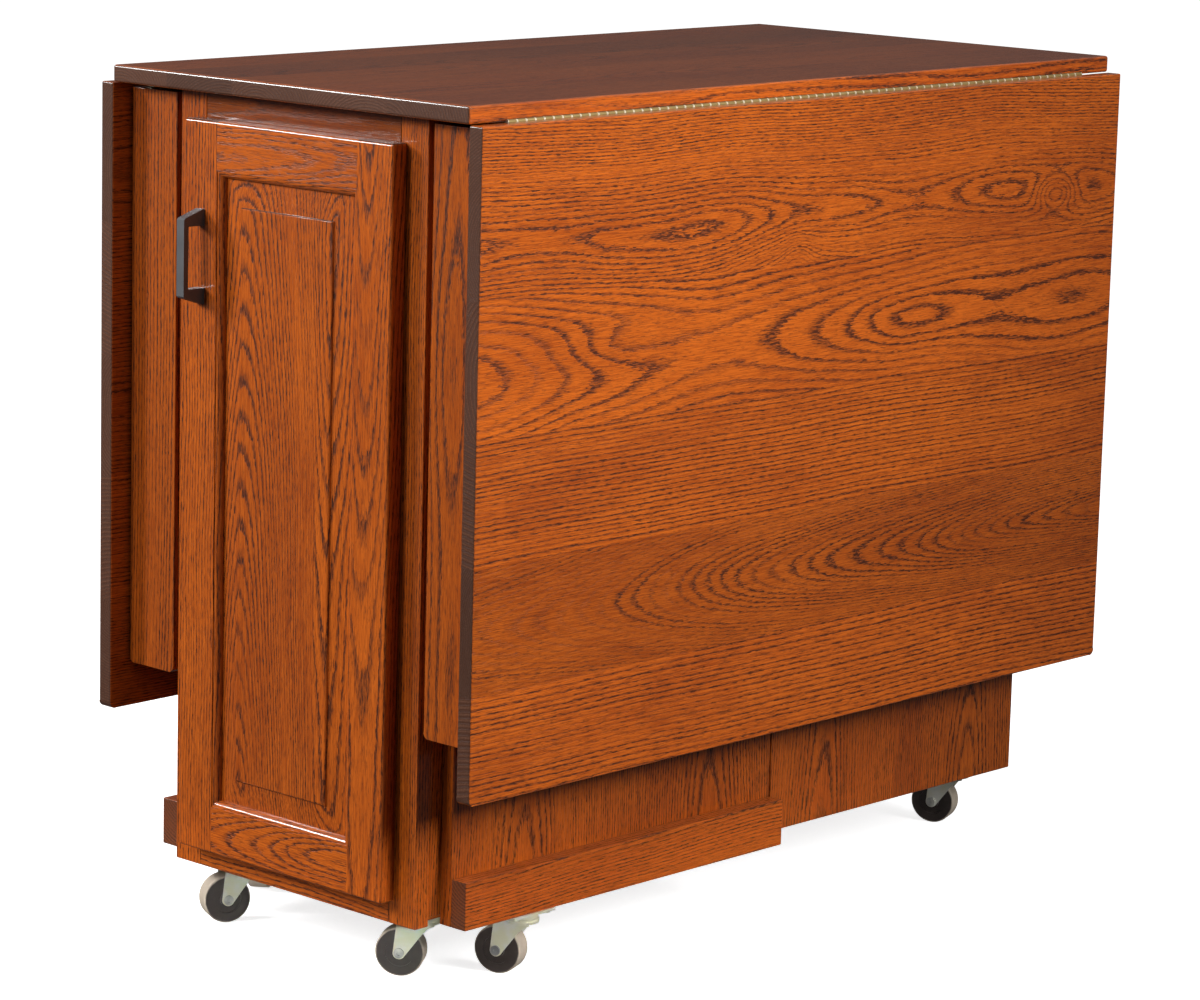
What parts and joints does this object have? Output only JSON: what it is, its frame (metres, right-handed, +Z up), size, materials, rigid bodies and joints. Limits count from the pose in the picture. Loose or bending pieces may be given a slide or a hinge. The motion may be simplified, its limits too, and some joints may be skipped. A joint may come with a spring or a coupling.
{
  "type": "kitchen island cart",
  "caption": "Narrow oak kitchen island on swivel casters, with two long drop leaves, swing-out support gates and an end door onto shelves.",
  "frame": {"origin": "on the floor, under the middle of the whole object's box, door pull included", "axes": "+Z up; X along the worktop, with the door at the -X end; the hinge side of the door and the near leaf are at -Y"},
  "size_m": [1.0388, 0.551, 0.9],
  "materials": {
    "oak_leaf": "satin clear coat over orange-brown stain, long grain along the leaf",
    "oak_top": "satin clear coat over dark brown stain",
    "oak_frame": "satin clear coat over brown stain, upright grain",
    "oak_carcass": "satin clear coat over brown stain, upright grain",
    "oak_door": "satin clear coat over brown stain, raised panel",
    "brass_hinge": "bright rolled brass",
    "pull_gunmetal": "dark gunmetal, satin",
    "zinc_steel": "zinc plated with a faint yellow-green passivate",
    "wheel_rubber": "hard dark rubber with a dusty pale tread",
    "clear_bumper": "soft translucent bumper"
  },
  "bodies": {
    "cabinet": {"top_panel": "oak_top", "near_hinge_top_plate": "brass_hinge", "far_hinge_top_plate": "brass_hinge", "leaf_hinge_pins": "brass_hinge", "frame_stile_near": "oak_frame", "frame_stile_far": "oak_frame", "frame_rail_top": "oak_frame", "frame_rail_bottom": "oak_frame", "side_near": "oak_carcass", "side_far": "oak_carcass", "cabinet_floor": "oak_carcass", "divider": "oak_carcass", "end_panel": "oak_carcass", "shelves": "oak_carcass", "shelf_pins": "zinc_steel", "top_cleats": "oak_carcass", "caster_pads": "oak_carcass", "fixed_panel_near": "oak_carcass", "fixed_panel_far": "oak_carcass", "gate_near": "oak_carcass", "gate_far": "oak_carcass", "gate_rail_near": "oak_frame", "gate_rail_far": "oak_frame", "gate_head_near": "oak_frame", "gate_head_far": "oak_frame", "gate_hinges": "brass_hinge", "door_hinge_arms": "zinc_steel", "caster_plates": "zinc_steel", "caster_screws": "zinc_steel"},
    "near_leaf": {"near_leaf": "oak_leaf", "near_hinge_leaf_plate": "brass_hinge"},
    "far_leaf": {"far_leaf": "oak_leaf", "far_hinge_leaf_plate": "brass_hinge"},
    "door": {"door_stile_hinge_side": "oak_door", "door_stile_pull_side": "oak_door", "door_rail_top": "oak_door", "door_rail_bottom": "oak_door", "door_panel": "oak_door", "door_pull": "pull_gunmetal", "door_pull_screws": "zinc_steel", "door_bumpers": "clear_bumper", "door_hinge_cups": "zinc_steel"},
    "caster_1_swivel": {"caster_1_fork": "zinc_steel", "caster_1_axle": "zinc_steel"},
    "caster_1_wheel": {"caster_1_wheel": "wheel_rubber"},
    "caster_2_swivel": {"caster_2_fork": "zinc_steel", "caster_2_axle": "zinc_steel"},
    "caster_2_wheel": {"caster_2_wheel": "wheel_rubber"},
    "caster_3_swivel": {"caster_3_fork": "zinc_steel", "caster_3_axle": "zinc_steel"},
    "caster_3_wheel": {"caster_3_wheel": "wheel_rubber"},
    "caster_4_swivel": {"caster_4_fork": "zinc_steel", "caster_4_axle": "zinc_steel"},
    "caster_4_wheel": {"caster_4_wheel": "wheel_rubber"},
    "caster_5_swivel": {"caster_5_fork": "zinc_steel", "caster_5_axle": "zinc_steel"},
    "caster_5_wheel": {"caster_5_wheel": "wheel_rubber"},
    "caster_6_swivel": {"caster_6_fork": "zinc_steel", "caster_6_axle": "zinc_steel"},
    "caster_6_wheel": {"caster_6_wheel": "wheel_rubber"}
  },
  "joints": [
    {"name": "near_leaf_lift", "type": "hinge", "parent": "cabinet", "child": "near_leaf", "pos_m": [0.0114, -0.2575, 0.882], "axis": [-1, 0, 0], "range_deg": [0, 90]},
    {"name": "far_leaf_lift", "type": "hinge", "parent": "cabinet", "child": "far_leaf", "pos_m": [0.0114, 0.2575, 0.882], "axis": [1, 0, 0], "range_deg": [0, 90]},
    {"name": "door_swing", "type": "hinge", "parent": "cabinet", "child": "door", "pos_m": [-0.4824, -0.145, 0.473], "axis": [0, 0, 1], "range_deg": [0, 95]},
    {"name": "caster_1_turn", "type": "hinge", "parent": "cabinet", "child": "caster_1_swivel", "pos_m": [-0.4146, 0.134, 0.058], "axis": [0, 0, 1], "continuous": true},
    {"name": "caster_1_roll", "type": "hinge", "parent": "caster_1_swivel", "child": "caster_1_wheel", "pos_m": [-0.43454, 0.1433, 0.0254], "axis": [-0.4226, -0.9063, 0], "continuous": true},
    {"name": "caster_2_turn", "type": "hinge", "parent": "cabinet", "child": "caster_2_swivel", "pos_m": [-0.4146, -0.134, 0.058], "axis": [0, 0, 1], "continuous": true},
    {"name": "caster_2_roll", "type": "hinge", "parent": "caster_2_swivel", "child": "caster_2_wheel", "pos_m": [-0.42722, -0.11598, 0.0254], "axis": [-0.8192, -0.5736, 0], "continuous": true},
    {"name": "caster_3_turn", "type": "hinge", "parent": "cabinet", "child": "caster_3_swivel", "pos_m": [-0.3376, -0.1985, 0.058], "axis": [0, 0, 1], "continuous": true},
    {"name": "caster_3_roll", "type": "hinge", "parent": "caster_3_swivel", "child": "caster_3_wheel", "pos_m": [-0.34548, -0.17796, 0.0254], "axis": [-0.9336, -0.3584, 0], "continuous": true},
    {"name": "caster_4_turn", "type": "hinge", "parent": "cabinet", "child": "caster_4_swivel", "pos_m": [-0.3376, 0.1985, 0.058], "axis": [0, 0, 1], "continuous": true},
    {"name": "caster_4_roll", "type": "hinge", "parent": "caster_4_swivel", "child": "caster_4_wheel", "pos_m": [-0.31958, 0.21112, 0.0254], "axis": [-0.5736, 0.8192, 0], "continuous": true},
    {"name": "caster_5_turn", "type": "hinge", "parent": "cabinet", "child": "caster_5_swivel", "pos_m": [0.4614, -0.128, 0.058], "axis": [0, 0, 1], "continuous": true},
    {"name": "caster_5_roll", "type": "hinge", "parent": "caster_5_swivel", "child": "caster_5_wheel", "pos_m": [0.45388, -0.10733, 0.0254], "axis": [-0.9397, -0.342, 0], "continuous": true},
    {"name": "caster_6_turn", "type": "hinge", "parent": "cabinet", "child": "caster_6_swivel", "pos_m": [0.4614, 0.128, 0.058], "axis": [0, 0, 1], "continuous": true},
    {"name": "caster_6_roll", "type": "hinge", "parent": "caster_6_swivel", "child": "caster_6_wheel", "pos_m": [0.45758, 0.14967, 0.0254], "axis": [-0.9848, -0.1736, 0], "continuous": true}
  ]
}
